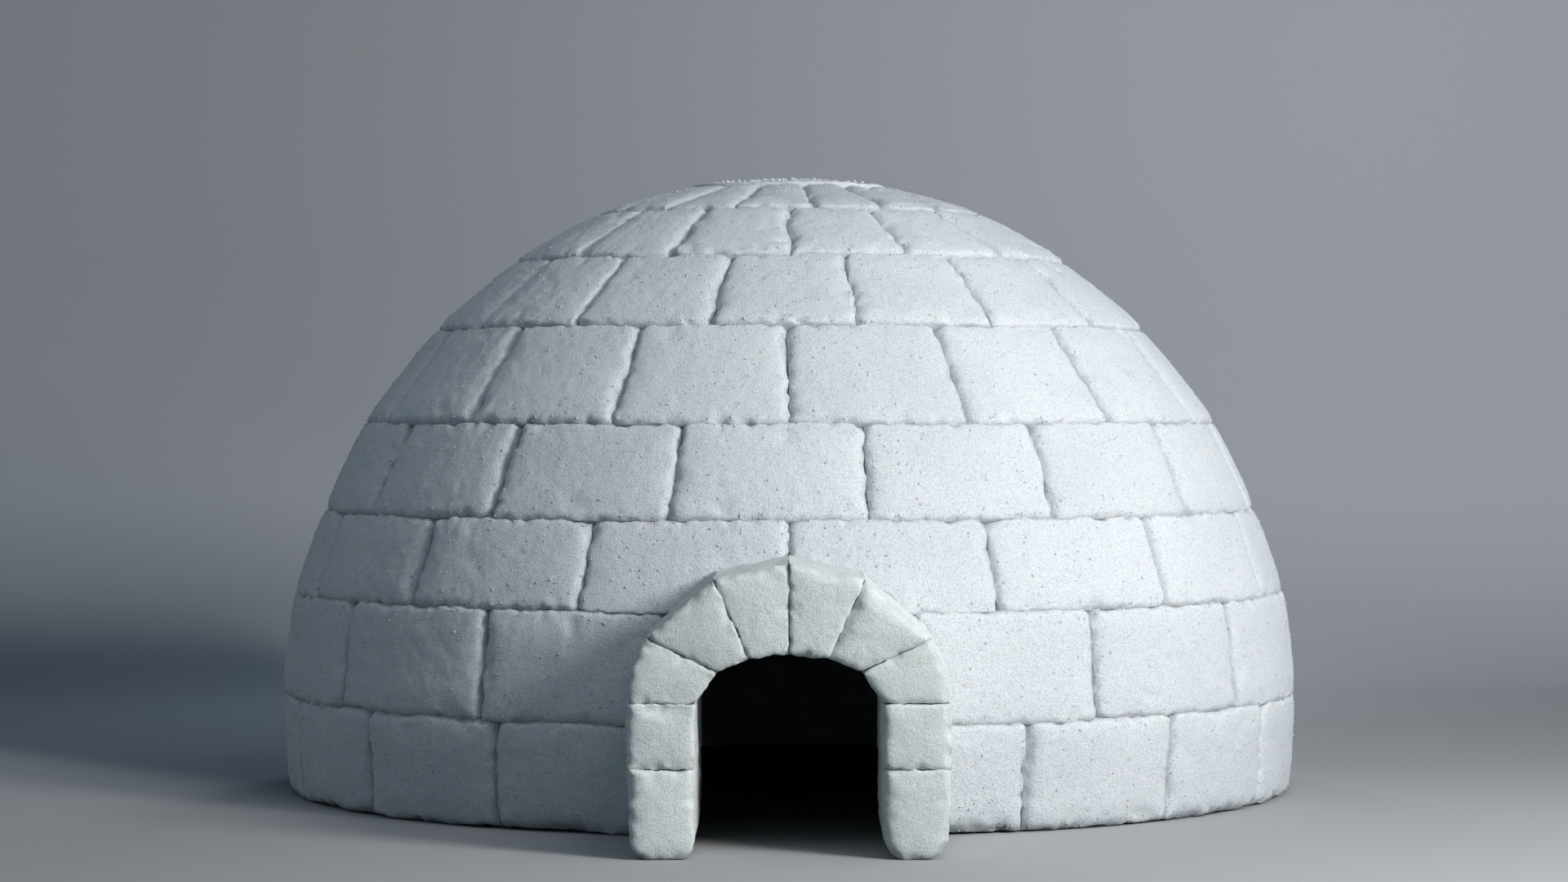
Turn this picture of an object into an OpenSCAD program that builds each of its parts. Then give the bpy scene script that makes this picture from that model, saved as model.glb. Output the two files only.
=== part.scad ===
// Snow-block igloo: a dome of eight courses of cut snow blocks closed by one
// key block, with a low arched doorway of ten long blocks standing out from
// the wall. Millimetres, +Z up, the doorway faces -Y, and the origin is on the
// ground at the middle of the igloo's outer box.

/* [Dome] */
// Radius of the dome's outer face at the ground
dome_r = 2070; // [1900:10:2200]
// Thickness of the wall blocks, from the outer face to the room
wall_t = 250; // [200:5:280]
// Width of the upright joint between two blocks of one course
joint_w = 6; // [4:1:10]

/* [Courses] */
// Height of each bed joint, ground to key block, as a share of dome_r
bed_z = [0, 0.195, 0.395, 0.559, 0.732, 0.915, 1.050, 1.146, 1.202]; // [0:0.001:1.2]
// Outer radius of each bed joint, as a share of dome_r
bed_r = [1.000, 1.012, 0.989, 0.929, 0.849, 0.706, 0.550, 0.384, 0.193]; // [0.1:0.001:1.1]
// Height of the dome's top, as a share of dome_r
top_z = 1.220; // [1.21:0.001:1.23]
// Blocks in a whole ring of each course
ring_n = [19, 16, 16, 16, 16, 16, 15, 16]; // [14:1:20]
// Direction of one upright joint of each course, degrees right of the doorway
ring_turn = [6, 11.25, 0, 9, 0, 10.5, 0, 7]; // [0:0.25:12]
// How far each course's lower outer edge stands out past the course below
lip = [0, 0, 0, 4, 12, 20, 18, 12]; // [0:1:20]

/* [Doorway] */
// Half of the clear width between the jambs
door_in = 325; // [300:5:340]
// Half of the outer width across the jambs
door_out = 560; // [540:5:580]
// Height of the joint between the lower and upper jamb blocks
jamb_z = 312; // [260:2:360]
// Height at which the arch springs from the jambs
spring_z = 539; // [500:1:560]
// Rise of the arch's inner curve above the springing
rise_in = 171; // [150:1:190]
// Rise of the arch's outer curve above the springing
rise_out = 486; // [470:1:495]
// Distance from the dome's axis to the doorway's front face
porch_y = 2750; // [2600:10:2900]
// Distance from the dome's axis to the arch blocks' inner ends
inner_y = 1770; // [1750:5:1790]
// Size of the taper at the foot of each lower jamb block
foot = 20; // [10:1:30]

/* [Hidden] */
$fn = 360;

// the dome's outer face follows a sphere whose centre is level with the first bed
centre_z = 0.2 * dome_r;
// the widest ring sets the back of the outer box, the porch sets its front
widest_r = dome_r * max(bed_r);
axis_y = (porch_y - widest_r) / 2;
// outer and inner curves of the arch, by angle above the springing
joint_out = [0, 28, 62, 90];
joint_in = [0, 40, 65, 90];

function bed(k) = [dome_r * bed_r[k], dome_r * bed_z[k]];
function away(k) = let (p = bed(k) - [0, centre_z]) p / norm(p);
// the ground bed is level, every other bed points at the sphere's centre
function bed_inner(k) = k == 0 ? bed(0) - [wall_t * 1.02, 0] : bed(k) - wall_t * away(k);
// cross-section of the blocks of course k, counted from 0
function section(k) = [bed_inner(k), bed(k) + lip[k] * away(k), bed(k + 1), bed_inner(k + 1)];
// an angle brought into -180 to 180
function wrap(a) = a - 360 * floor((a + 180) / 360);
function side_of(c) = abs(c) >= 120 ? "back" : c < 0 ? "left" : "right";
// a point of the arch at angle t, on the outer or the inner curve
function extrados(t) = [door_out * cos(t), spring_z + rise_out * sin(t)];
function intrados(t) = [door_in * cos(t), spring_z + rise_in * sin(t)];

// one block of course k, between directions a0 and a1
module ring_block(k, a0, a1) {
    gap = joint_w / bed(k)[0] * 180 / PI / 2;
    rotate([0, 0, a0 + gap - 90])
        rotate_extrude(angle = a1 - a0 - 2 * gap) polygon(section(k));
}

// the doorway's whole outline, jambs and arch, driven through the wall
module doorway_outline(y0, y1) {
    translate([0, -y0, 0]) rotate([90, 0, 0]) linear_extrude(y1 - y0)
        polygon(concat([[door_out, -10]], [for (t = arc_steps()) extrados(t)],
            [for (t = arc_steps_back()) [-extrados(t)[0], extrados(t)[1]]], [[-door_out, -10]]));
}
// the outer curve is flat between these angles, as cut blocks are
function arc_steps() = [0, 14, 28, 62, 90];
function arc_steps_back() = [for (i = [3:-1:0]) arc_steps()[i]];

// the blocks of course k that lie on one side
module course(k, side) {
    n = ring_n[k];
    reach = asin(door_out / (bed(k)[0] - wall_t)) + 1;
    translate([0, axis_y, 0]) for (i = [0:n - 1]) {
        a0 = wrap(ring_turn[k] + i * 360 / n);
        a1 = a0 + 360 / n;
        near_edge = a0 < 0 && a1 > 0 ? 0 : min(abs(a0), abs(a1));
        far_edge = max(abs(a0), abs(a1));
        gone = k < 2 && far_edge < asin(door_out / bed(k)[0]);
        if (side_of(wrap((a0 + a1) / 2)) == side && !gone) {
            if (k < 3 && near_edge < reach) difference() {
                ring_block(k, a0, a1);
                doorway_outline(1400, 2400);
            }
            else ring_block(k, a0, a1);
        }
    }
}

module course_1_left() color("aliceblue") course(0, "left");
module course_1_right() color("aliceblue") course(0, "right");
module course_1_back() color("aliceblue") course(0, "back");
module course_2_left() color("ghostwhite") course(1, "left");
module course_2_right() color("ghostwhite") course(1, "right");
module course_2_back() color("ghostwhite") course(1, "back");
module course_3_left() color("aliceblue") course(2, "left");
module course_3_right() color("aliceblue") course(2, "right");
module course_3_back() color("aliceblue") course(2, "back");
module course_4_left() color("ghostwhite") course(3, "left");
module course_4_right() color("ghostwhite") course(3, "right");
module course_4_back() color("ghostwhite") course(3, "back");
module course_5_left() color("aliceblue") course(4, "left");
module course_5_right() color("aliceblue") course(4, "right");
module course_5_back() color("aliceblue") course(4, "back");
module course_6_left() color("ghostwhite") course(5, "left");
module course_6_right() color("ghostwhite") course(5, "right");
module course_6_back() color("ghostwhite") course(5, "back");
module course_7_left() color("aliceblue") course(6, "left");
module course_7_right() color("aliceblue") course(6, "right");
module course_7_back() color("aliceblue") course(6, "back");
module course_8_left() color("ghostwhite") course(7, "left");
module course_8_right() color("ghostwhite") course(7, "right");
module course_8_back() color("ghostwhite") course(7, "back");

// the round plug that closes the dome
module key_block() color("snow") translate([0, axis_y, 0]) rotate_extrude()
    polygon([[0, bed_inner(8)[1] + 12], bed_inner(8), bed(8),
        [bed(8)[0] * 0.55, dome_r * top_z - (dome_r * top_z - bed(8)[1]) * 0.3], [0, dome_r * top_z]]);

// a long block of the doorway, its outline drawn on the front face
module porch_block(outline, left) {
    translate([0, axis_y - inner_y, 0]) mirror([left ? 1 : 0, 0, 0])
        rotate([90, 0, 0]) linear_extrude(porch_y - inner_y) polygon(outline);
}
module jamb_lower(left) color("lavender") porch_block([
    [door_in + foot, 0], [door_out - foot, 0], [door_out, 3 * foot], [door_out, jamb_z],
    [door_in, jamb_z], [door_in, 3 * foot]], left);
module jamb_upper(left) color("aliceblue") porch_block([
    [door_in, jamb_z], [door_out, jamb_z], [door_out, spring_z], [door_in, spring_z]], left);
// voussoir j, counted up from the springing, cut straight along the opening
module voussoir(j, left) color(j == 1 ? "aliceblue" : "lavender") porch_block([
    for (s = j == 0 ? [0, 1, 2] : [0, 2]) extrados(joint_out[j] + (joint_out[j + 1] - joint_out[j]) * s / 2),
    intrados(joint_in[j + 1]), intrados(joint_in[j])], left);

module jamb_left_lower() jamb_lower(true);
module jamb_left_upper() jamb_upper(true);
module arch_left_springer() voussoir(0, true);
module arch_left_haunch() voussoir(1, true);
module arch_left_crown() voussoir(2, true);
module jamb_right_lower() jamb_lower(false);
module jamb_right_upper() jamb_upper(false);
module arch_right_springer() voussoir(0, false);
module arch_right_haunch() voussoir(1, false);
module arch_right_crown() voussoir(2, false);

course_1_left();
course_1_right();
course_1_back();
course_2_left();
course_2_right();
course_2_back();
course_3_left();
course_3_right();
course_3_back();
course_4_left();
course_4_right();
course_4_back();
course_5_left();
course_5_right();
course_5_back();
course_6_left();
course_6_right();
course_6_back();
course_7_left();
course_7_right();
course_7_back();
course_8_left();
course_8_right();
course_8_back();
key_block();
jamb_left_lower();
jamb_left_upper();
arch_left_springer();
arch_left_haunch();
arch_left_crown();
jamb_right_lower();
jamb_right_upper();
arch_right_springer();
arch_right_haunch();
arch_right_crown();
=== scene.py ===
import bpy
import math
import numpy as np
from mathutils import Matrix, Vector


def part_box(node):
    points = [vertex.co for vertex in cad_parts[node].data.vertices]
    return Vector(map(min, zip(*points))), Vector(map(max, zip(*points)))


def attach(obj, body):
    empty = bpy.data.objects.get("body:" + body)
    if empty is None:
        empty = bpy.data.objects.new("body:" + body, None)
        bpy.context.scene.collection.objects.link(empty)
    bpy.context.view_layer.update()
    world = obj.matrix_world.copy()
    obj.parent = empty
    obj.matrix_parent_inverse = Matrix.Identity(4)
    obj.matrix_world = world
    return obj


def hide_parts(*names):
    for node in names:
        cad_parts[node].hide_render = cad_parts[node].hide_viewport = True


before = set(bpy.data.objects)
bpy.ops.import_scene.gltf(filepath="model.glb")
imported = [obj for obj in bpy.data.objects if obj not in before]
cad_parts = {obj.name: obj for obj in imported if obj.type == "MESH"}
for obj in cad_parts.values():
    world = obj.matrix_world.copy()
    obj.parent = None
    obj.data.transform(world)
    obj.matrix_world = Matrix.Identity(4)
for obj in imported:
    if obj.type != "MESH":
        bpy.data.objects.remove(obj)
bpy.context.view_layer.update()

FILL = (.158, .194, .230, 1)
KEY = (39.2, 18.4, 10.1, 672, 2.6, (1.0, .998, .99))
# the floor's and the backdrop's grey along the sweep, at its left and its right, with painted light and shade in it:
# lighter or darker along the sweep and from left to right as the lamps light it
SWEEP_LEFT_GREY_AND_LIGHT = [(-3, .465), (5.5, .46), (6.6, .49), (7.2, .53), (7.5, .57), (8.1, .615), (8.4, .635), (8.8, .60), (9.2, .572),
              (9.7, .565), (10.3, .563), (11.8, .595)]
SWEEP_RIGHT_GREY_AND_LIGHT = [(-1, .45), (1.0, .42), (3.4, .42), (4.6, .47), (5.5, .53), (6.6, .61), (7.2, .68), (7.5, .735), (8.0, .765),
               (8.4, .785), (9.7, .78), (10.3, .79), (11.8, .845)]
PAINTED_SHADOW_TINT = (.44, .51, .60)

# ---------------------------------------------------------------- the igloo's design, in metres
AXIS_Y = sum(c[1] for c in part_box("key_block")) / 2      # the dome's axis
R0 = 2.070                                               # outer radius at the ground
WALL = 0.25
BED_Z = R0 * np.array([0, 0.195, 0.395, 0.559, 0.732, 0.915, 1.050, 1.146, 1.202])
BED_R = R0 * np.array([1.000, 1.012, 0.989, 0.929, 0.849, 0.706, 0.550, 0.384, 0.193])
TOP_Z = R0 * 1.220
ZC = 0.2 * R0
RING_N = [19, 16, 16, 16, 16, 16, 15, 16]
RING_TURN = [6, 11.25, 0, 9, 0, 10.5, 0, 7]
LIP = [0, 0, 0, .004, .012, .020, .018, .012]
DOOR_IN, DOOR_OUT = 0.325, 0.560
JAMB_Z, SPRING_Z = 0.312, 0.539
RISE_IN, RISE_OUT = 0.171, 0.486
PORCH_Y, INNER_Y = 2.750, 1.770
JOINT_OUT = [0, 28, 62, 90]
JOINT_IN = [0, 40, 65, 90]
PACKED = .006                                            # snow packed against the doorway


def bed_out(k):
    return np.array([BED_R[k], BED_Z[k]])


def away(k):
    p = bed_out(k) - np.array([0, ZC])
    return p / np.linalg.norm(p)


def bed_in(k):
    return bed_out(0) - np.array([WALL * 1.02, 0]) if k == 0 else bed_out(k) - WALL * away(k)


# ---------------------------------------------------------------- seeded noise
_rng = np.random.default_rng(20)
_PERM = np.tile(_rng.permutation(256), 3)
_GRAD = _rng.normal(size=(256, 3))
_GRAD /= np.linalg.norm(_GRAD, axis=1)[:, None]


def noise(p):
    """Gradient noise of points p (N, 3), about -1 to 1."""
    p = np.asarray(p, float)
    i = np.floor(p).astype(np.int64)
    f = p - i
    i &= 255
    w = f * f * f * (f * (f * 6 - 15) + 10)
    out = np.zeros(len(p))
    for dx in (0, 1):
        hx = _PERM[i[:, 0] + dx]
        wx = w[:, 0] if dx else 1 - w[:, 0]
        for dy in (0, 1):
            hy = _PERM[hx + i[:, 1] + dy]
            wy = w[:, 1] if dy else 1 - w[:, 1]
            for dz in (0, 1):
                g = _GRAD[_PERM[(hy + i[:, 2] + dz) & 255]]
                wz = w[:, 2] if dz else 1 - w[:, 2]
                d = g[:, 0] * (f[:, 0] - dx) + g[:, 1] * (f[:, 1] - dy) + g[:, 2] * (f[:, 2] - dz)
                out += wx * wy * wz * d
    return out * 1.7


def fbm(p, octaves=3, gain=.5):
    out, a, s = 0, 1.0, 0
    for o in range(octaves):
        out = out + a * noise(p * 2 ** o + 17.3 * o)
        s += a
        a *= gain
    return out / s


def noise1(x, seed):
    x = np.asarray(x, float)
    q = np.stack([x.ravel(), np.full(x.size, seed * 7.31), np.full(x.size, seed * 3.17 + .5)], 1)
    return noise(q).reshape(x.shape)


def smooth(x, a, b):
    t = np.clip((x - a) / (b - a), 0, 1)
    return t * t * (3 - 2 * t)


# ---------------------------------------------------------------- one worn block
def lines(length, r, cell):
    """Positions of grid lines across a face: close together over the rounded edges."""
    edge = r * np.array([0, .076, .293, .617, 1.0, 1.65])
    edge = edge[edge < length * .45]
    n = max(int(round((length - 2 * edge[-1]) / cell)), 1)
    mid = np.linspace(edge[-1], length - edge[-1], n + 1)
    return np.concatenate([edge[:-1], mid, (length - edge[:-1])[::-1]]) / length


def ball():
    """A unit ball of 20 triangles."""
    g = (1 + 5 ** .5) / 2
    v = np.array([(-1, g, 0), (1, g, 0), (-1, -g, 0), (1, -g, 0), (0, -1, g), (0, 1, g),
                  (0, -1, -g), (0, 1, -g), (g, 0, -1), (g, 0, 1), (-g, 0, -1), (-g, 0, 1)], float)
    f = [(0, 11, 5), (0, 5, 1), (0, 1, 7), (0, 7, 10), (0, 10, 11), (1, 5, 9), (5, 11, 4), (11, 10, 2), (10, 7, 6),
         (7, 1, 8), (3, 9, 4), (3, 4, 2), (3, 2, 6), (3, 6, 8), (3, 8, 9), (4, 9, 5), (2, 4, 11), (6, 2, 10),
         (8, 6, 7), (9, 8, 1)]
    return v / np.linalg.norm(v[0]), f


BALL_V, BALL_F = ball()
GRAIN_V = np.array([(1, 0, 0), (-1, 0, 0), (0, 1, 0), (0, -1, 0), (0, 0, 1), (0, 0, -1)], float)
GRAIN_F = [(0, 2, 4), (2, 1, 4), (1, 3, 4), (3, 0, 4), (2, 0, 5), (1, 2, 5), (3, 1, 5), (0, 3, 5)]


class Block:
    """A closed worn block. Its worn face is a patch (u, v), and depth runs inward from it.

    place(u, v, q) gives points for patch coordinates and depth in metres,
    width(v) and height(u) are the patch's real sizes."""

    def __init__(self, place, width, height, depth, seed, cell=.0115, edge_r=(.02, .02, .01, .01), corner_r=(.03,) * 4,
                 pillow=.006, rough=1.0, chips=2, depths=None, fill=.0, side_noise=0.0, gap=.001,
                 inner_cells=(10, 6), sink=0.0, shade=.30, tone_and_shade=1.0, crumbs=0, groove=.62, lean_chips=0, shaggy=0.0,
                 square=True):
        # edge_r: radii of the edges at u = 0, u = 1, v = 0 and v = 1; corner_r: of the corners
        # at (0, 0), (1, 0), (0, 1) and (1, 1)
        rng = np.random.default_rng(seed)
        Lu, Lv = float(width(np.array([.5]))[0]), float(height(np.array([.5]))[0])
        us, vs = lines(Lu, max(edge_r[:2]), cell), lines(Lv, max(edge_r[2:]), cell)
        nu, nv = len(us) - 1, len(vs) - 1
        U, V = np.meshgrid(us, vs)
        U, V = U.ravel(), V.ravel()
        W, H = width(V), height(U)
        a, b = W / 2, H / 2
        s, t = (U - .5) * W, (V - .5) * H
        # corners rounded in the plane of the face, each by its own radius
        rc = np.array(corner_r) * rng.uniform(.6, 1.3, 4)
        which = (s > 0).astype(int) + 2 * (t > 0)
        rc = np.minimum(rc[which], np.minimum(a, b) * .8)
        D = np.minimum(a - np.abs(s), b - np.abs(t))
        dx, dy = np.abs(s) - (a - rc), np.abs(t) - (b - rc)
        inside = (dx > 0) & (dy > 0)
        m = np.where(inside, np.maximum(dx, dy) / np.maximum(np.hypot(dx, dy), 1e-9), 1)
        s2 = np.where(inside, np.sign(s) * (a - rc + dx * m), s)
        t2 = np.where(inside, np.sign(t) * (b - rc + dy * m), t)
        # outward direction in the plane, used at the rim
        ox = np.where(inside, np.sign(s) * dx * m, np.where(a - np.abs(s) < b - np.abs(t), np.sign(s), 0))
        oy = np.where(inside, np.sign(t) * dy * m, np.where(a - np.abs(s) < b - np.abs(t), 0, np.sign(t)))
        on = np.maximum(np.hypot(ox, oy), 1e-9)
        ox, oy = ox / on, oy / on

        def to_uv(s_, t_):
            return s_ / W + .5, t_ / H + .5

        base = place(*to_uv(s2, t2), np.zeros(len(s2)))
        off = np.array([seed * 1.37 % 91, seed * 2.11 % 83, seed * .73 % 71])
        P = base + off
        # the rim wanders a little in the plane of the face
        rag = np.exp(-D / .03)
        wob = .0050 * rough * (noise(P * 24) + .9 * noise(P * 58 + 9))
        s3 = s2 + ox * rag * (wob - gap)
        t3 = t2 + oy * rag * (wob - gap)
        # rounded edge whose radius varies along it
        eu, ev = np.where(s > 0, edge_r[1], edge_r[0]), np.where(t > 0, edge_r[3], edge_r[2])
        R = np.sqrt((ox * eu) ** 2 + (oy * ev) ** 2)
        R = R * np.clip(1 + .70 * noise(P * 6 + 3) + .55 * noise(P * 19), .35, 2.1)
        R = np.minimum(R, .45 * np.minimum(a, b))
        fall = groove * R * np.clip(1 - D / R, 0, 1) ** 2
        pil = pillow * np.clip(1 - D / .13, 0, 1) ** 2
        # broad tool marks and slumps, finer lumps, then pits and short creases
        flat = smooth(D, 0, .02)
        und = .0032 * fbm(P * np.array([3.6, 3.6, 3.6]), 2) + .0007 * noise(P * 14 + 5) * (.4 + .6 * flat)
        fine = .0009 * noise(P * 34 + 2) + .0012 * noise(P * 75 + 7)
        fine = fine + shaggy * (.0074 * noise(P * 17 + 5) + .0042 * noise(P * 38 + 9))
        n9 = noise(P * 8.5 + 31)
        pits = .017 * np.clip(n9 - .46, 0, 1) ** 1.2 * np.clip(.30 + 2.0 * np.exp(-D / .06), 0, 1.5)
        lumps = .013 * np.clip(noise(P * 12 + 61) - .50, 0, 1) * np.exp(-np.maximum(D - .012, 0) / .07)
        edge_chip = .046 * rough * np.clip(noise(P * 17 + 77) - .18, 0, 1) * np.exp(-D / .016)
        # shallow strokes left by the trimming knife
        stroke = .0010 * noise(P * np.array([26, 26, 5.5]) + 19) * smooth(noise(P * 3.3 + 83), -.05, .35)
        crease = .0022 * np.clip(1 - np.abs(noise(P * 4.2 + 11)) / .040, 0, 1) * smooth(noise(P * 3.1 + 47), .12, .40)
        depth0 = fall + pil + edge_chip + rough * (pits + crease + stroke - lumps - und - fine) * (.35 + .65 * flat) + sink
        # broken places: facets that cut off an edge or a corner
        fresh = np.zeros(len(s))
        for _ in range(rng.poisson(chips) + lean_chips):
            if _ < lean_chips:
                cs, ct = Lu / 2, (1, -1, 1, .3)[_ % 4] * Lv / 2
            elif rng.random() < .55:
                cs, ct = rng.choice([-1, 1]) * Lu / 2, rng.choice([-1, 1, 1]) * Lv / 2
            elif rng.random() < .6:
                cs, ct = rng.uniform(-.45, .45) * Lu, rng.choice([-1, 1, 1]) * Lv / 2
            else:
                cs, ct = rng.choice([-1, 1]) * Lu / 2, rng.uniform(-.4, .4) * Lv
            reach, deep = rng.uniform(.028, .075), rng.uniform(.010, .024)
            stretch = rng.uniform(.7, 1.6)
            q2 = np.hypot((s - cs) / stretch, (t - ct) * stretch)
            q2 = q2 + .014 * noise(P * 20 + 3.1 * _) + .006 * noise(P * 50)
            cutp = deep * (1 - q2 / reach) + .0032 * noise(P * 38 + 7) * (q2 < reach)
            soft_cut = np.where(q2 < reach * 1.15, cutp + .35 * np.minimum(fall, .02), -1)
            fresh = np.maximum(fresh, smooth(soft_cut - depth0, -.002, .003))
            depth0 = np.maximum(depth0, soft_cut)
        depth0 = np.maximum(depth0, np.where(D < .004, .002, -.006))
        u3, v3 = to_uv(s3, t3)
        verts = [place(u3, v3, depth0)]
        # painted shade: darker where the face rounds off into a joint, a little whiter where the snow is freshly broken
        tones_and_shade = [1 - shade * smooth(fall, .003, .013) * (1 - fresh) + .05 * fresh]
        # the rim, counter-clockwise as seen from outside
        idx = np.arange((nu + 1) * (nv + 1)).reshape(nv + 1, nu + 1)
        rim = np.concatenate([idx[0, :-1], idx[:-1, -1], idx[-1, ::-1][:-1], idx[::-1, 0][:-1]])
        q = idx[:-1, :-1].ravel(), idx[:-1, 1:].ravel(), idx[1:, 1:].ravel(), idx[1:, :-1].ravel()
        quads = [np.stack(q, 1)]
        count = len(depth0)
        nr = len(rim)
        last = rim
        ring0 = depth0[rim]
        if depths is None:
            depths = [(.017, 1.0), (.05, 1.0), (depth * .6, 1.0), (depth - .009, 1.0), (depth, -1.0)]
        wobr = wob[rim]
        for di, (dm, flare) in enumerate(depths):
            if flare < 0:        # the far end of the block, chamfered
                o = np.full(nr, -.009)
                dd = np.full(nr, dm)
            else:
                dd = np.maximum(dm, ring0 + .004 * (di + 1))
                o = flare * ((gap - wobr) + fill)
                if side_noise:
                    far = min(1.0, dm / .03)
                    Ps = place(u3[rim], v3[rim], dd) + off
                    o = o + side_noise * far * (.0045 * fbm(Ps * 4.1 + 21, 2) + .0036 * noise(Ps * 15 + 3) + .0026 * noise(Ps * 27)
                                                - .012 * np.clip(noise(Ps * 9 + 13) - .45, 0, 1))
            sq = (float(smooth(dm, .02, .06)) if flare >= 0 else 1.0) if square else 0.0
            keep = math.exp(-dm / .06) if side_noise else 1.0
            sr = s2[rim] + (s3 - s2)[rim] * keep + (s[rim] - s2[rim]) * sq + ox[rim] * o
            tr = t2[rim] + (t3 - t2)[rim] * keep + (t[rim] - t2[rim]) * sq + oy[rim] * o
            ru, rv = sr / W[rim] + .5, tr / H[rim] + .5
            verts.append(place(ru, rv, dd))
            # painted shade on the block's sides down in the joint, deeper on the dome's courses; the far end keeps its
            # colour
            tones_and_shade.append(np.full(nr, 1 - (1.25 if fill else .35) * shade if dm < depth * .9 else 1.0))
            ring = count + np.arange(nr)
            count += nr
            nxt = np.roll(np.arange(nr), -1)
            quads.append(np.stack([last, ring, ring[nxt], last[nxt]], 1))
            last = ring
        # the far face: a coarse grid stitched to the rim with many-sided cells
        cu = np.unique(np.round(np.linspace(0, nu, max(inner_cells[0], 1) + 1)).astype(int))
        cv = np.unique(np.round(np.linspace(0, nv, max(inner_cells[1], 1) + 1)).astype(int))
        at = {}
        for k_, v_ in zip(rim, last):
            at[(int(k_) % (nu + 1), int(k_) // (nu + 1))] = int(v_)
        gi = [(int(i), int(j)) for j in cv[1:-1] for i in cu[1:-1]]
        if gi:
            sel = np.array([idx[j, i] for i, j in gi])
            far_in = place(U[sel], V[sel], np.full(len(sel), depth)) 
            bump = .004 * fbm((far_in + off) * 3.3 + 71, 2)
            verts.append(place(U[sel], V[sel], depth + bump - .002))
            tones_and_shade.append(np.ones(len(sel)))
            for n_, ij in enumerate(gi):
                at[ij] = count + n_
            count += len(sel)
        ngons = []
        for ja, jb in zip(cv[:-1], cv[1:]):
            for ia, ib in zip(cu[:-1], cu[1:]):
                loop = []
                loop += [(i, ja) for i in (range(ia, ib) if ja == 0 else (ia,))]
                loop += [(ib, j) for j in (range(ja, jb) if ib == nu else (ja,))]
                loop += [(i, jb) for i in (range(ib, ia, -1) if jb == nv else (ib,))]
                loop += [(ia, j) for j in (range(jb, ja, -1) if ia == 0 else (jb,))]
                ngons.append([at[(int(i), int(j))] for i, j in loop][::-1])
        # crumbs of snow left on the face, most of them along its edges
        edge = np.flatnonzero((D > .003) & (D < .034) & (fall < .016))
        face = np.flatnonzero(D > .03)
        cells = []
        for c_ in range(crumbs if len(edge) and len(face) else 0):
            pick = rng.choice(edge if c_ % 5 < 2 else face)
            grain = GRAIN_V * rng.uniform(.0030, .0062) * rng.uniform(.65, 1.25, (6, 1)) + rng.uniform(-.001, .001, (6, 3))
            turn = rng.uniform(0, 2 * math.pi)
            co_, si_ = math.cos(turn), math.sin(turn)
            grain = grain @ np.array([[co_, si_, .3 * si_], [-si_, co_, -.3 * co_], [0, .3, 1]]) + verts[0][pick]
            grain[:, 2] = np.maximum(grain[:, 2], .0005)
            cells += [[count + x for x in f] for f in GRAIN_F]
            verts.append(grain)
            tones_and_shade.append(np.ones(6))
            count += 6
        self.crumb_cells = cells
        self.verts = np.concatenate(verts)
        self.tones_and_shade = np.concatenate(tones_and_shade) * tone_and_shade
        self.quads = np.concatenate(quads)
        self.ngons = ngons


def make_object(name, blocks, flip=None):
    """Joins blocks into one mesh object, built straight from arrays."""
    verts, starts, totals, loops = [], [], [], []
    base = 0
    pos = 0
    for n, b in enumerate(blocks):
        quads, ngons = b.quads, b.ngons
        if flip and flip[n]:
            quads, ngons = quads[:, ::-1], [g[::-1] for g in ngons]
        verts.append(b.verts)
        loops.append((quads + base).ravel())
        starts.append(pos + 4 * np.arange(len(quads)))
        totals.append(np.full(len(quads), 4))
        pos += 4 * len(quads)
        for g in ngons + b.crumb_cells:
            loops.append(np.array(g) + base)
            starts.append(np.array([pos]))
            totals.append(np.array([len(g)]))
            pos += len(g)
        base += len(b.verts)
    verts, loops = np.concatenate(verts), np.concatenate(loops)
    starts, totals = np.concatenate(starts), np.concatenate(totals)
    me = bpy.data.meshes.new(name)
    me.vertices.add(len(verts))
    me.vertices.foreach_set("co", verts.astype(np.float32).ravel())
    me.loops.add(len(loops))
    me.loops.foreach_set("vertex_index", loops.astype(np.int32))
    me.polygons.add(len(starts))
    me.polygons.foreach_set("loop_start", starts.astype(np.int32))
    me.polygons.foreach_set("loop_total", totals.astype(np.int32))
    me.polygons.foreach_set("use_smooth", np.ones(len(starts), bool))
    me.update(calc_edges=True)
    me.validate()
    me.attributes.new("tone_and_shade", "FLOAT", "POINT").data.foreach_set(
        "value", np.concatenate([b.tones_and_shade for b in blocks]).astype(np.float32))
    ob = bpy.data.objects.new(name, me)
    bpy.context.scene.collection.objects.link(ob)
    return ob


# ---------------------------------------------------------------- the dome's courses
def wrap(a):
    return a - 360 * math.floor((a + 180) / 360)


def side_of(c):
    return "back" if abs(c) >= 120 else ("left" if c < 0 else "right")


def arch_half(z):
    """Half width of the doorway's outline at height z."""
    z = np.asarray(z, float)
    pts = [(DOOR_OUT, -1.0), (DOOR_OUT, SPRING_Z)] + [
        (DOOR_OUT * math.cos(math.radians(t)), SPRING_Z + RISE_OUT * math.sin(math.radians(t)))
        for t in (14, 28, 62, 90)]
    zs, xs = [p[1] for p in pts], [p[0] for p in pts]
    return np.interp(z, zs, xs) - PACKED


def arch_top(x):
    """Height of the doorway's outline at distance x from its middle (0 outside it)."""
    x = np.abs(np.asarray(x, float))
    pts = [(DOOR_OUT * math.cos(math.radians(t)), SPRING_Z + RISE_OUT * math.sin(math.radians(t)))
           for t in (90, 62, 28, 14, 0)]
    return np.where(x > DOOR_OUT, 0, np.interp(x, [p[0] for p in pts], [p[1] for p in pts]) - PACKED)


def head_wander(k, j, v):
    """Sideways wander of upright joint j of course k, in metres, shared by both blocks."""
    amp = .007 + (.004 if k >= 5 else 0)
    lean = .012 * math.sin(j * 12.9898 + k * 78.233)
    return amp * noise1(v * 2.2 + j * 5.1, k * 31 + j) + .003 * noise1(v * 7 + j * 3.3, 500 + k * 31 + j) + lean * (v - .5)


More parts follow.
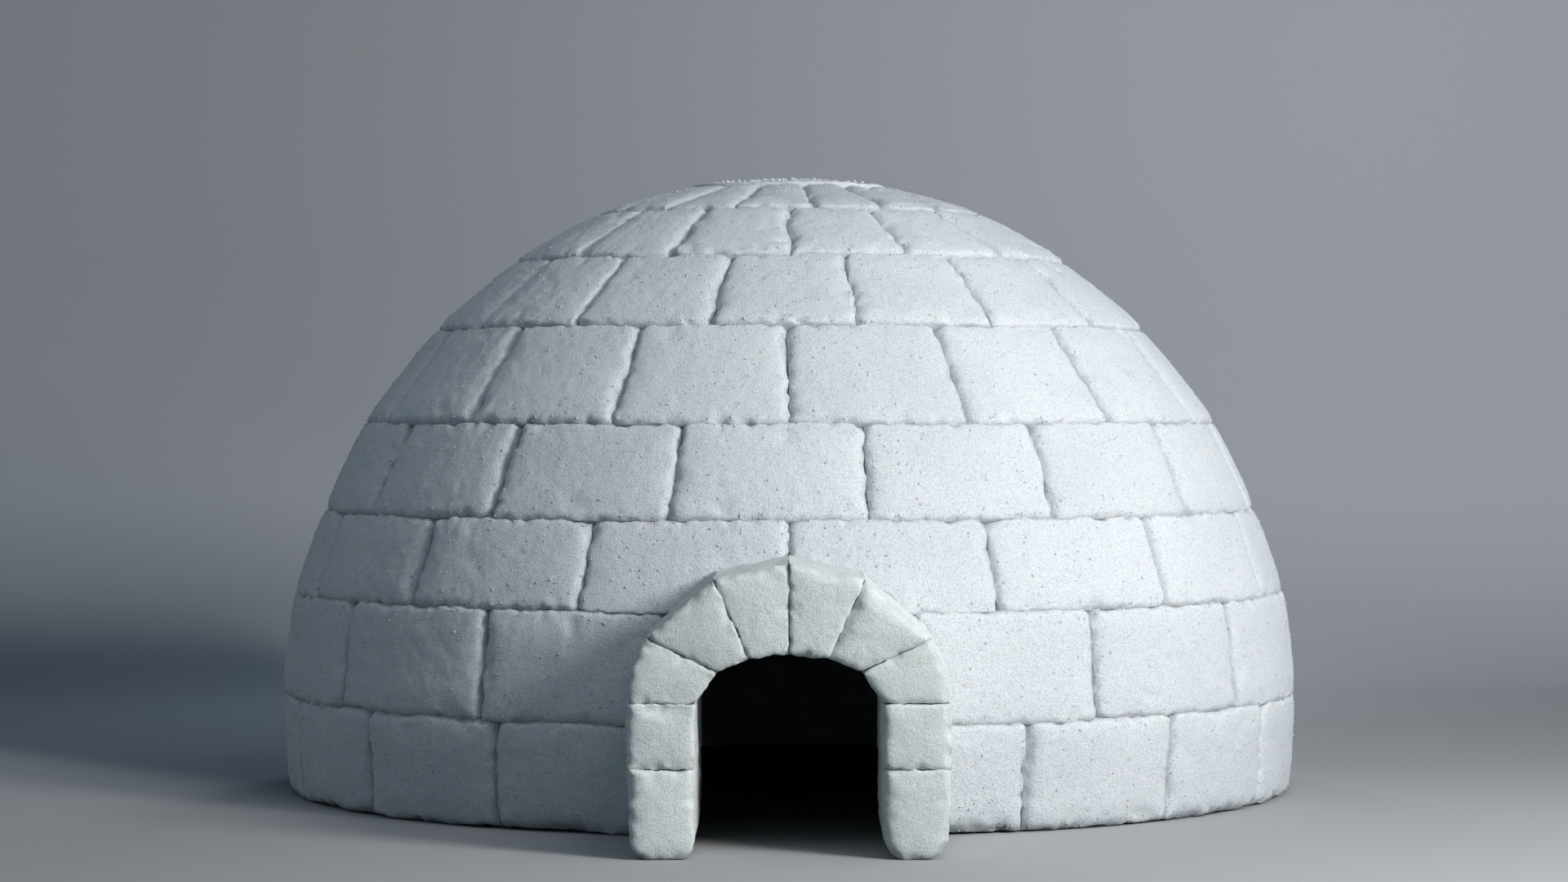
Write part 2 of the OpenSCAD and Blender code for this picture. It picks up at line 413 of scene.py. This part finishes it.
def bed_wander(k, phi):
    """Up and down wander of bed joint k at direction phi (degrees), shared by both courses."""
    if k == 0:
        return np.zeros_like(phi)
    r = BED_R[k]
    x = np.radians(phi) * r
    c, s = np.cos(np.radians(phi)) * r, np.sin(np.radians(phi)) * r
    q = np.stack([c, s, np.full_like(c, k * 3.7)], -1).reshape(-1, 3)
    amp = .0065 + (.004 if k >= 6 else 0)
    return (amp * noise(q * 2.7) + .003 * noise(q * 9.0 + 5)).reshape(np.shape(phi))


def course_block(k, i):
    n, turn = RING_N[k], RING_TURN[k]
    a0 = wrap(turn + i * 360 / n)
    a1 = a0 + 360 / n
    o0, o1 = bed_out(k) + .5 * LIP[k] * away(k), bed_out(k + 1)
    i0, i1 = bed_in(k), bed_in(k + 1)
    slant = float(np.linalg.norm(o1 - o0))
    reach = math.degrees(math.asin(min(1, DOOR_OUT / (bed_out(k)[0] - WALL)))) + 1
    near = 0 if a0 < 0 < a1 else min(abs(a0), abs(a1))
    far = max(abs(a0), abs(a1))
    if k < 2 and far < math.degrees(math.asin(DOOR_OUT / bed_out(k)[0])):
        return None
    cut = k < 3 and near < reach
    rngb = np.random.default_rng(k * 100 + i)
    stand = rngb.uniform(-.004, .004)
    tilt = rngb.uniform(-.004, .004, 2)

    def rz(v, q):
        """Radius and height at height fraction v and depth q."""
        v = np.asarray(v)[:, None]
        o = o0 + (o1 - o0) * v
        n_ = i0 + (i1 - i0) * v
        p = o + (n_ - o) * (np.asarray(q)[:, None] / WALL)
        return p[:, 0], p[:, 1]

    def bounds(v, q):
        """Directions of the block's two ends, in degrees."""
        lo, hi = np.full(len(v), a0), np.full(len(v), a1)
        if cut and k < 2:
            r, z = rz(v, q)
            ang = np.degrees(np.arcsin(np.clip(arch_half(z) / r, -1, 1)))
            if a0 < 0:
                hi = -ang
            else:
                lo = ang
        return lo, hi

    def floor_v(phi, q):
        """Height fraction of the block's lower edge, raised where the arch cuts it."""
        if not (cut and k == 2):
            return np.zeros(len(phi))
        v = np.full(len(phi), .3)
        for _ in range(6):
            r, z = rz(v, q)
            top = arch_top(r * np.sin(np.radians(phi)))
            v = np.clip(v + (top - z) / (o1[1] - o0[1]), 0, .95)
        return v

    def width(v):
        z = np.zeros(len(v))
        lo, hi = bounds(v, z)
        r, _ = rz(v, z)
        return np.radians(hi - lo) * r

    def height(u):
        z = np.zeros(len(u))
        lo, hi = bounds(np.full(len(u), .5), z)
        return slant * (1 - floor_v(lo + (hi - lo) * u, z))

    j0, j1 = i % n, (i + 1) % n

    def place(u, v, q):
        fv0 = np.clip(v, -.2, 1.2)
        lo, hi = bounds(fv0, q)
        phi = lo + (hi - lo) * u
        fb = floor_v(phi, q)
        vv = fb + (1 - fb) * v
        vc = np.clip(vv, 0, 1)
        low = bed_wander(k, phi) * np.where(fb > .02, 0, 1)
        vv = vv + ((1 - vc) * low + vc * bed_wander(k + 1, phi)) / slant
        r, z = rz(vv, q)
        w0 = head_wander(k, j0, vc) if not (cut and k < 2 and a0 >= 0) else 0
        w1 = head_wander(k, j1, vc) if not (cut and k < 2 and a0 < 0) else 0
        uc = np.clip(u, 0, 1)
        shift = (1 - uc) * w0 + uc * w1
        # a block sits a few millimetres proud or shy, and not quite true
        d = stand + tilt[0] * (2 * uc - 1) + tilt[1] * (2 * vc - 1)
        phi = np.radians(phi) + shift / np.maximum(r, .05)
        if k == 0:
            z = np.maximum(z, 0.0)
        nr = away(k) * .5 + away(k + 1) * .5
        r = r - np.maximum(d, 0) * nr[0] * 1.0
        z = z - np.maximum(d, 0) * nr[1] * 1.0
        if k == 0:
            z = np.maximum(z, 0.0)
            q2 = np.stack([r * np.sin(phi), r * np.cos(phi), np.full_like(r, 8.8)], 1)
            gapz = .005 + .018 * np.clip(noise(q2 * 3.1), 0, 1) + .014 * np.clip(noise(q2 * 13), 0, 1)
            z = z + gapz * np.clip(1 - z / .08, 0, 1) * np.clip(1 - np.asarray(q) / .10, 0, 1)
        return np.stack([r * np.sin(phi), AXIS_Y - r * np.cos(phi), z], -1)

    small = k >= 6
    L = float(width(np.array([.5]))[0])
    head = rngb.uniform(.024, .040, 2)
    low = {0: .030}.get(k, .018 if k < 5 else .015) * rngb.uniform(.8, 1.3)
    high = (.017 if k < 5 else .014) * rngb.uniform(.8, 1.3)
    if k == 7:
        high = .005
    # no rounding where the doorway passes through the wall
    if cut and k < 2:
        head[1 if a0 < 0 else 0] = .005
    if cut and k == 2:
        low = .005
    return Block(place, width, height, WALL, seed=1000 + k * 40 + i,
                 cell=.0117 if far < 105 else .015, edge_r=(head[0], head[1], low, high),
                 corner_r=(.034, .034, .048, .048), pillow=.010 if not small else .012,
                 rough=1.0 if k < 5 else 1.1, chips=2.0 if k < 5 else 2.6, fill=.0032,
                 # each block has a random tone; the top course is also painted darker, painted shade that tones down
                 # its brightly lit upper faces
                 shade=.18 if k < 5 else .14, tone_and_shade=rngb.uniform(.96, 1.0) - (.07 if k == 7 else 0),
                 crumbs=64 if k < 6 else 44, groove=.56 if k < 5 else .50, shaggy=.15 if k < 5 else .22,
                 lean_chips=2 if a0 < -20 and k < 6 else 0,
                 inner_cells=(max(3, int(L / .09)), max(2, int(slant / .09))), sink=.0015)


# ---------------------------------------------------------------- the doorway's blocks
def porch_block(corner_in, corner_out, seed, left, foot=False, edges=(.012, .012, .007, .007), corners=(.016,) * 4, tone_and_shade=1.0):
    """corner_in and corner_out: the block's inner and outer edge curves, as lists of (x, z)."""
    ci, co = np.array(corner_in, float), np.array(corner_out, float)

    def along(pts, v):
        seg = np.concatenate([[0], np.cumsum(np.linalg.norm(np.diff(pts, axis=0), axis=1))])
        seg /= seg[-1]
        vc = np.clip(v, 0, 1)
        x, z = np.interp(vc, seg, pts[:, 0]), np.interp(vc, seg, pts[:, 1])
        over = (v - vc)[:, None] * np.where((v > .5)[:, None], pts[-1] - pts[-2], pts[1] - pts[0]) * (len(pts) - 1)
        return np.stack([x, z], 1) + over

    def width(v):
        v = np.clip(v, 0, 1)
        return np.linalg.norm(along(co, v) - along(ci, v), axis=1)

    li = np.linalg.norm(np.diff(ci, axis=0), axis=1).sum()
    lo = np.linalg.norm(np.diff(co, axis=0), axis=1).sum()

    def height(u):
        return li + (lo - li) * np.asarray(u)

    rngb = np.random.default_rng(seed)
    yaw, set_back = rngb.uniform(-.006, .006), rngb.uniform(0, .008)
    depth = PORCH_Y - INNER_Y

    def place(u, v, q):
        p = along(ci, v) * (1 - u)[:, None] + along(co, v) * u[:, None]
        x, z = p[:, 0], p[:, 1]
        if foot:
            z = np.maximum(z, 0)
        fade = np.clip(1 - q / .3, 0, 1)
        y = AXIS_Y - PORCH_Y + q + fade * (set_back + abs(yaw) + yaw * (2 * np.clip(u, 0, 1) - 1))
        x = -x if left else x
        return np.stack([x, y, z], -1)

    steps = [(.03, 0)] + [(d, 0.0) for d in [*np.arange(.050, .74, .0185), *np.arange(.76, depth - .03, .045)]]
    steps += [(depth - .012, 0), (depth, -1.0)]
    return Block(place, width, height, depth, seed=seed, cell=.0085, edge_r=edges, corner_r=corners,
                 pillow=.008, rough=.80, chips=.7, groove=.55, square=not foot, depths=steps, side_noise=1.0, gap=.0010,
                 inner_cells=(5, 5), sink=.001, shade=.13, tone_and_shade=tone_and_shade)


def ellipse_points(a, rise, angles):
    return [(a * math.cos(math.radians(t)), SPRING_Z + rise * math.sin(math.radians(t))) for t in angles]


# ---------------------------------------------------------------- the key block
def key_object(name):
    """A lumpy round cap with frayed rim, closed underneath."""
    rim_r, rim_z = bed_out(8)
    in_r, in_z = bed_in(8)
    na = 132
    rr = np.concatenate([np.linspace(.03, .80, 26), [.85, .90, .94, .97, .99, 1.0]])
    th = np.linspace(0, 2 * math.pi, na, endpoint=False)
    rows, faces = [], []
    verts = [[0, AXIS_Y, TOP_Z - .027]]
    for r_ in rr:
        x, y = r_ * rim_r * np.cos(th), r_ * rim_r * np.sin(th)
        z = rim_z + (TOP_Z - .024 - rim_z) * (1 - r_ ** 2.1)
        P = np.stack([x, y, np.full(na, 4.4)], 1)
        edge = (1 - r_) * rim_r
        fall = .0035 * max(1 - edge / .010, 0) ** 2
        dz = .007 * fbm(P * 6, 3) + .003 * noise(P * 30) - .010 * np.clip(noise(P * 12 + 4) - .35, 0, 1) + .004 * noise(P * 17 + 1) * (edge > .03) - .004
        wob = .003 * noise(P * 9 + 2) + .002 * noise(P * 25) if r_ > .9 else 0
        rad = 1 + (wob * (r_ - .9) / .1 - .001 * (r_ > .9)) / rim_r if r_ > .9 else 1
        verts += list(map(list, np.stack([x * rad, AXIS_Y + y * rad, np.minimum(z - fall + dz, TOP_Z)], 1)))
    for r_, z_ in ((rim_r - .01, rim_z - .05), (in_r + .02, in_z + .03), (in_r - .01, in_z), (in_r * .5, in_z + .012)):
        verts += list(map(list, np.stack([r_ * np.cos(th), AXIS_Y + r_ * np.sin(th), np.full(na, z_)], 1)))
    verts.append([0, AXIS_Y, in_z + .012])
    rows = len(rr) + 4
    for j in range(na):
        k2 = (j + 1) % na
        faces.append((0, 1 + j, 1 + k2))
        for r_ in range(rows - 1):
            a, b = 1 + r_ * na, 1 + (r_ + 1) * na
            faces.append((a + j, b + j, b + k2, a + k2))
        a = 1 + (rows - 1) * na
        faces.append((a + j, len(verts) - 1, a + k2))
    # crumbs of snow left on the cap and round its joint
    rng = np.random.default_rng(404)
    for _ in range(230):
        rad = .33 * rng.uniform(.01, 1.0) ** .8
        a = rng.uniform(0, 2 * math.pi)
        size = rng.uniform(.005, .0105)
        heap = .017 * max(0, 1 - (rad / .22) ** 2) * rng.uniform(0, 1)
        zc = min(rim_z + (TOP_Z - .026 - rim_z) * (1 - (rad / rim_r) ** 2.1) + heap, TOP_Z - .0135)
        c = np.array([rad * math.cos(a), AXIS_Y + rad * math.sin(a), zc])
        q = BALL_V * size * rng.uniform(.75, 1.25, (12, 3)) + c
        faces += [tuple(int(x) + len(verts) for x in f) for f in BALL_F]
        verts += list(map(list, q))
    me = bpy.data.meshes.new(name)
    me.from_pydata(verts, [], faces)
    me.polygons.foreach_set("use_smooth", np.ones(len(me.polygons), bool))
    me.update()
    me.attributes.new("tone_and_shade", "FLOAT", "POINT").data.foreach_set("value", np.ones(len(verts), np.float32))
    ob = bpy.data.objects.new(name, me)
    bpy.context.scene.collection.objects.link(ob)
    return ob


# ---------------------------------------------------------------- snow
def node(nt, kind, x, y, **inputs):
    n = nt.nodes.new(kind)
    n.location = (x, y)
    for key, val in inputs.items():
        n.inputs[key.replace("_", " ")].default_value = val
    return n


def snow(name, light, dark, tint, grain=1.0, sss=.35, rough=1.0):
    m = bpy.data.materials.new(name)
    m.use_nodes = True
    nt = m.node_tree
    nt.nodes.clear()
    L = nt.links.new
    out = node(nt, "ShaderNodeOutputMaterial", 900, 0)
    b = node(nt, "ShaderNodeBsdfPrincipled", 600, 0)
    L(b.outputs[0], out.inputs[0])
    tc = node(nt, "ShaderNodeTexCoord", -1200, 0)
    where = tc.outputs["Object"]

    def noise_tex(scale, detail, rough, x, y, dist=0.0):
        n = node(nt, "ShaderNodeTexNoise", x, y)
        n.inputs["Scale"].default_value = scale
        n.inputs["Detail"].default_value = detail
        n.inputs["Roughness"].default_value = rough
        n.inputs["Distortion"].default_value = dist
        L(where, n.inputs["Vector"])
        return n

    def ramp(src, stops, x, y):
        r = node(nt, "ShaderNodeValToRGB", x, y)
        while len(r.color_ramp.elements) < len(stops):
            r.color_ramp.elements.new(.5)
        for e, (pos, col) in zip(r.color_ramp.elements, stops):
            e.position, e.color = pos, col
        L(src, r.inputs[0])
        return r

    # colour: soft cloudy patches, then the speckle of packed grains
    cloud = noise_tex(2.6, 4, .55, -900, 300, .4)
    patch = ramp(cloud.outputs["Fac"], [(.30, (*dark, 1)), (.55, (*light, 1)), (.78, (*tint, 1))], -650, 300)
    grains = noise_tex(150, 3, .9, -900, 0)
    speck = ramp(grains.outputs["Fac"], [(.35, (.52, .55, .58, 1)), (.51, (.935, .945, .955, 1)), (.62, (1.0, 1.0, 1.0, 1))], -650, 0)
    mix = node(nt, "ShaderNodeMix", -300, 200)
    mix.data_type, mix.blend_type = "RGBA", "MULTIPLY"
    mix.inputs[0].default_value = .80 * grain
    L(patch.outputs[0], mix.inputs[6])
    L(speck.outputs[0], mix.inputs[7])
    # painted shade: the colour is multiplied by a vertex attribute that is darker in the joints' grooves and over the
    # rounded edges beside them, a little whiter on fresh breaks, and scaled by each block's own tone
    tone_and_shade = node(nt, "ShaderNodeAttribute", -650, -120)
    tone_and_shade.attribute_name = "tone_and_shade"
    shade = node(nt, "ShaderNodeMix", 0, 200)
    shade.data_type, shade.blend_type = "RGBA", "MULTIPLY"
    shade.inputs[0].default_value = 1.0
    L(mix.outputs[2], shade.inputs[6])
    L(tone_and_shade.outputs["Fac"], shade.inputs[7])
    L(shade.outputs[2], b.inputs["Base Color"])
    # roughness: mostly matt, with icier crusts
    crust = noise_tex(7, 3, .6, -900, -250)
    rr = ramp(crust.outputs["Fac"], [(.35, (.78, .78, .78, 1)), (.68, (.52, .52, .52, 1))], -650, -250)
    L(rr.outputs[0], b.inputs["Roughness"])
    b.inputs["Subsurface Weight"].default_value = sss
    b.inputs["Subsurface Radius"].default_value = (.55, .75, 1.0)
    b.inputs["Subsurface Scale"].default_value = .018
    b.inputs["IOR"].default_value = 1.31
    b.inputs["Specular IOR Level"].default_value = .45
    b.inputs["Sheen Weight"].default_value = .10
    b.inputs["Sheen Roughness"].default_value = .5
    # bump: hand-sized softness, crumbs, then grain
    b1 = noise_tex(12, 3, .55, -900, -500)
    b2 = noise_tex(66, 4, .70, -900, -750)
    b3 = noise_tex(175, 3, .75, -900, -1000)
    bump = None
    for src, strength, dist, y in ((b1, .24, .010, -500), (b2, .75 * rough, .0040, -700), (b3, 1.0 * rough, .0060, -900)):
        bn = node(nt, "ShaderNodeBump", -200, y)
        bn.inputs["Strength"].default_value = strength
        bn.inputs["Distance"].default_value = dist
        L(src.outputs["Fac"], bn.inputs["Height"])
        if bump:
            L(bump.outputs[0], bn.inputs["Normal"])
        bump = bn
    L(bump.outputs[0], b.inputs["Normal"])
    return m


WALL_SNOW = snow("wall_snow", (.925, .955, .985), (.875, .91, .945), (.945, .97, .99))
PORCH_SNOW = snow("porch_snow", (.895, .94, .915), (.85, .895, .875), (.935, .965, .95), .75, .35, .75)
# painted shade: the key block's snow is a little darker than the wall's, toning down its brightly lit top
KEY_SNOW = snow("key_snow", (.90, .925, .95), (.85, .88, .915), (.93, .95, .97))


def finish_piece(ob, node_name, mat):
    ob.data.materials.append(mat)
    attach(ob, "root")
    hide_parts(node_name)


tri = 0
for k in range(8):
    sides = {"left": [], "right": [], "back": []}
    for i in range(RING_N[k]):
        a0 = wrap(RING_TURN[k] + i * 360 / RING_N[k])
        blk = course_block(k, i)
        if blk is not None:
            sides[side_of(wrap(a0 + 180 / RING_N[k]))].append(blk)
    for side, blocks in sides.items():
        nm = f"course_{k + 1}_{side}"
        ob = make_object("snow_" + nm, blocks)
        finish_piece(ob, nm, WALL_SNOW)
        tri += sum(2 * len(b.quads) + sum(len(g) - 2 for g in b.ngons + b.crumb_cells) for b in blocks)

F = .020
# each doorway block's colour factor, set to how bright that block looks: partly its own tone, partly painted shade,
# darkest on the left haunch
PORCH_TONE_AND_SHADE = {"left_lower": 1.02, "left_upper": 1.02, "left_springer": .95, "left_haunch": .86, "left_crown": .96,
              "right_lower": .95, "right_upper": .93, "right_springer": .94, "right_haunch": 1.02, "right_crown": .96}
# radii of each porch block's edges (opening side, outer side, lower, upper) and corners
PORCH_EDGES = {
    "jamb_left_lower": ((.018, .032, .034, .012), (.060, .066, .016, .020)),
    "jamb_left_upper": ((.018, .028, .012, .011), (.014, .018, .014, .022)),
    "arch_left_springer": ((.016, .030, .012, .012), (.026, .022, .020, .034)),
    "arch_left_haunch": ((.015, .026, .013, .012), (.022, .028, .016, .020)),
    "arch_left_crown": ((.015, .026, .012, .011), (.016, .022, .014, .016)),
    "jamb_right_lower": ((.034, .032, .034, .013), (.062, .066, .020, .020)),
    "jamb_right_upper": ((.034, .028, .012, .012), (.024, .018, .022, .020)),
    "arch_right_springer": ((.026, .036, .013, .013), (.026, .022, .028, .038)),
    "arch_right_haunch": ((.022, .034, .016, .040), (.024, .034, .026, .034)),
    "arch_right_crown": ((.015, .028, .016, .011), (.016, .034, .014, .016)),
}
for left in (True, False):
    side = "left" if left else "right"
    sd = 5000 if left else 6000
    parts = [
        (f"jamb_{side}_lower", [(DOOR_IN + F * .9, .0), (DOOR_IN + .004, .07), (DOOR_IN, JAMB_Z)],
         [(DOOR_OUT - F, .0), (DOOR_OUT - .010, .08), (DOOR_OUT, JAMB_Z)], True),
        (f"jamb_{side}_upper", [(DOOR_IN, JAMB_Z), (DOOR_IN, SPRING_Z)], [(DOOR_OUT, JAMB_Z), (DOOR_OUT, SPRING_Z)], False),
    ]
    names = ["springer", "haunch", "crown"]
    for j in range(3):
        ai = np.linspace(JOINT_IN[j], JOINT_IN[j + 1], 2)
        ao = [0, 14, 28] if j == 0 else [JOINT_OUT[j], JOINT_OUT[j + 1]]
        parts.append((f"arch_{side}_{names[j]}", ellipse_points(DOOR_IN, RISE_IN, ai), ellipse_points(DOOR_OUT, RISE_OUT, ao), False))
    for n, (nm, cin, cout, foot) in enumerate(parts):
        blk = porch_block(cin, cout, sd + n * 7, left, foot, *PORCH_EDGES[nm], tone_and_shade=PORCH_TONE_AND_SHADE[nm[5:]])
        # the patch runs from the opening outwards, so one side of the doorway is turned inside out
        ob = make_object("snow_" + nm, [blk], [left])
        finish_piece(ob, nm, PORCH_SNOW)
        tri += 2 * len(blk.quads) + sum(len(g) - 2 for g in blk.ngons)

key = key_object("snow_key_block")
finish_piece(key, "key_block", KEY_SNOW)
tri += 2 * len(key.data.polygons)
print("TRIANGLES", tri)


# ---------------------------------------------------------------- floor, light, camera
def floor():
    """A pale floor that sweeps up into a backdrop well behind the igloo, its colour holding painted light and a painted
    shadow.
    """
    yc, rc = 5.5, 4.0
    prof = [(y, 0.0, y) for y in np.concatenate([[-19, -12, -7, -4], np.arange(-3, 5.6, .125)])]
    prof += [(yc + rc * math.sin(math.radians(t)), rc - rc * math.cos(math.radians(t)), yc + rc * math.radians(t))
             for t in range(3, 91, 3)]
    prof += [(yc + rc, 7.0, 15.0), (yc + rc, 12.0, 20.0)]
    xs = np.concatenate([[-18, -12, -8], np.arange(-5.5, 5.6, .125), [8, 12, 18]])
    verts = [(x, y, z) for y, z, _ in prof for x in xs]
    grey_and_painted_light = []
    for y, z, along in prof:
        # the floor's colour: its grey with painted light along the sweep, blended from left to right
        le, ri = (np.interp(along, [q[0] for q in side], [q[1] for q in side]) for side in (SWEEP_LEFT_GREY_AND_LIGHT, SWEEP_RIGHT_GREY_AND_LIGHT))
        for x in xs:
            g = .97 * (le + (ri - le) * float(smooth(x, -4.2, 4.2)))
            # painted shadow: deeper and bluer where the igloo keeps the key lamp off, and painted shade indoors
            a = smooth((x + 1.6) * .775 + (y + .98) * .632, -.1, .5) * (1 - smooth((x - 1.6) * .775 + (y - 1.64) * .632, -.6, 0))
            a = float(a * smooth(-x * .632 + (y - AXIS_Y) * .775, 0, .8) * (1 - smooth(along, 6.3, 7.6)))
            painted_indoor_shade = float((1 - smooth(abs(x), .3, .7)) * smooth(y, -2.3, -1.6) * (1 - smooth(y, 2, 2.6)))
            grey_and_painted_light.append([g * (1 + (c - 1) * a) * (1 - .6 * painted_indoor_shade) * t for c, t in zip(PAINTED_SHADOW_TINT, (.995, 1.0, 1.02))] + [1.0])
    nx = len(xs)
    faces = [(j * nx + i, j * nx + i + 1, (j + 1) * nx + i + 1, (j + 1) * nx + i)
             for j in range(len(prof) - 1) for i in range(nx - 1)]
    me = bpy.data.meshes.new("floor")
    me.from_pydata(verts, [], faces)
    me.polygons.foreach_set("use_smooth", np.ones(len(me.polygons), bool))
    me.attributes.new("grey_and_painted_light", "FLOAT_COLOR", "POINT").data.foreach_set("color", np.array(grey_and_painted_light, np.float32).ravel())
    ob = bpy.data.objects.new("floor", me)
    bpy.context.scene.collection.objects.link(ob)
    m = bpy.data.materials.new("floor_grey_and_painted_light")
    m.use_nodes = True
    nt = m.node_tree
    b = nt.nodes["Principled BSDF"]
    out = nt.nodes["Material Output"]
    b.inputs["Roughness"].default_value = .9
    b.inputs["Specular IOR Level"].default_value = .1
    col = nt.nodes.new("ShaderNodeAttribute")
    col.attribute_name = "grey_and_painted_light"
    # the floor throws only a little light back at the walls
    fp = nt.nodes.new("ShaderNodeLightPath")
    fm = nt.nodes.new("ShaderNodeMix")
    fm.data_type = "RGBA"
    fm.inputs[6].default_value = (.13, .15, .16, 1)
    nt.links.new(fp.outputs["Is Camera Ray"], fm.inputs[0])
    nt.links.new(col.outputs["Color"], fm.inputs[7])
    nt.links.new(fm.outputs[2], b.inputs["Base Color"])
    # seen from behind, the backdrop is clear
    ge = nt.nodes.new("ShaderNodeNewGeometry")
    tr = nt.nodes.new("ShaderNodeBsdfTransparent")
    mx = nt.nodes.new("ShaderNodeMixShader")
    nt.links.new(ge.outputs["Backfacing"], mx.inputs[0])
    nt.links.new(b.outputs[0], mx.inputs[1])
    nt.links.new(tr.outputs[0], mx.inputs[2])
    nt.links.new(mx.outputs[0], out.inputs[0])
    ob.data.materials.append(m)


floor()

# the studio: a grey backdrop with painted light, lighter towards the right where the key lamp stands, and a weak cool
# fill
world = bpy.data.worlds.new("studio")
bpy.context.scene.world = world
world.use_nodes = True
wt = world.node_tree
wt.nodes.clear()
wo = wt.nodes.new("ShaderNodeOutputWorld")
fill = wt.nodes.new("ShaderNodeBackground")
fill.inputs["Color"].default_value = FILL
fill.inputs["Strength"].default_value = 1.0
backdrop_painted_light = wt.nodes.new("ShaderNodeBackground")
wc = wt.nodes.new("ShaderNodeTexCoord")
sx = wt.nodes.new("ShaderNodeSeparateXYZ")
wm = wt.nodes.new("ShaderNodeMapRange")
wm.inputs["From Min"].default_value = -.22
wm.inputs["From Max"].default_value = .22
wr = wt.nodes.new("ShaderNodeValToRGB")
wr.color_ramp.elements[0].color = (.162, .182, .200, 1)
wr.color_ramp.elements[1].color = (.300, .318, .342, 1)
wt.links.new(wc.outputs["Generated"], sx.inputs[0])
wt.links.new(sx.outputs["X"], wm.inputs["Value"])
wt.links.new(wm.outputs["Result"], wr.inputs[0])
wt.links.new(wr.outputs[0], backdrop_painted_light.inputs["Color"])
lp = wt.nodes.new("ShaderNodeLightPath")
wx = wt.nodes.new("ShaderNodeMixShader")
wt.links.new(lp.outputs["Is Camera Ray"], wx.inputs[0])
wt.links.new(fill.outputs[0], wx.inputs[1])
wt.links.new(backdrop_painted_light.outputs[0], wx.inputs[2])
wt.links.new(wx.outputs[0], wo.inputs[0])


def light(name, kind, azimuth, elevation, far, power, size, colour):
    """A light in that direction from the dome (0 = in front, + = right), aimed at it."""
    a, e = math.radians(azimuth), math.radians(elevation)
    d = Vector((math.sin(a) * math.cos(e), -math.cos(a) * math.cos(e), math.sin(e)))
    li = bpy.data.lights.new(name, kind)
    li.energy, li.color = power, colour
    if kind == "AREA":
        li.shape, li.size = "DISK", size
    else:
        li.angle = math.radians(size)
    ob = bpy.data.objects.new(name, li)
    bpy.context.scene.collection.objects.link(ob)
    ob.location = Vector((0, AXIS_Y, 1.0)) + d * far
    ob.rotation_euler = (-d).to_track_quat("-Z", "Y").to_euler()
    return ob


light("key", "AREA", *KEY)
light("top", "AREA", 30, 48, 9, 105, 4.5, (.97, .99, 1.0))
light("side", "AREA", 113, 6.8, 24, 860, 6.0, (.88, .92, 1.0))
light("back", "AREA", 180, 18, 6.5, 90, 2.0, (.88, .95, 1.0))
light("left", "AREA", -108, 5, 16, 55, 5.0, (.85, .93, 1.0))

cam_data = bpy.data.cameras.new("camera")
cam_data.lens = 86.98
cam_data.sensor_width = 36
cam = bpy.data.objects.new("camera", cam_data)
bpy.context.scene.collection.objects.link(cam)
cam.location = (0, AXIS_Y - 15.774, 1.5375)
cam.rotation_euler = (math.radians(90 - .403), 0, math.radians(.0803))
bpy.context.scene.camera = cam

vs = bpy.context.scene.view_settings
vs.view_transform = "Standard"
vs.look = "None"
vs.exposure = 0
vs.gamma = 1
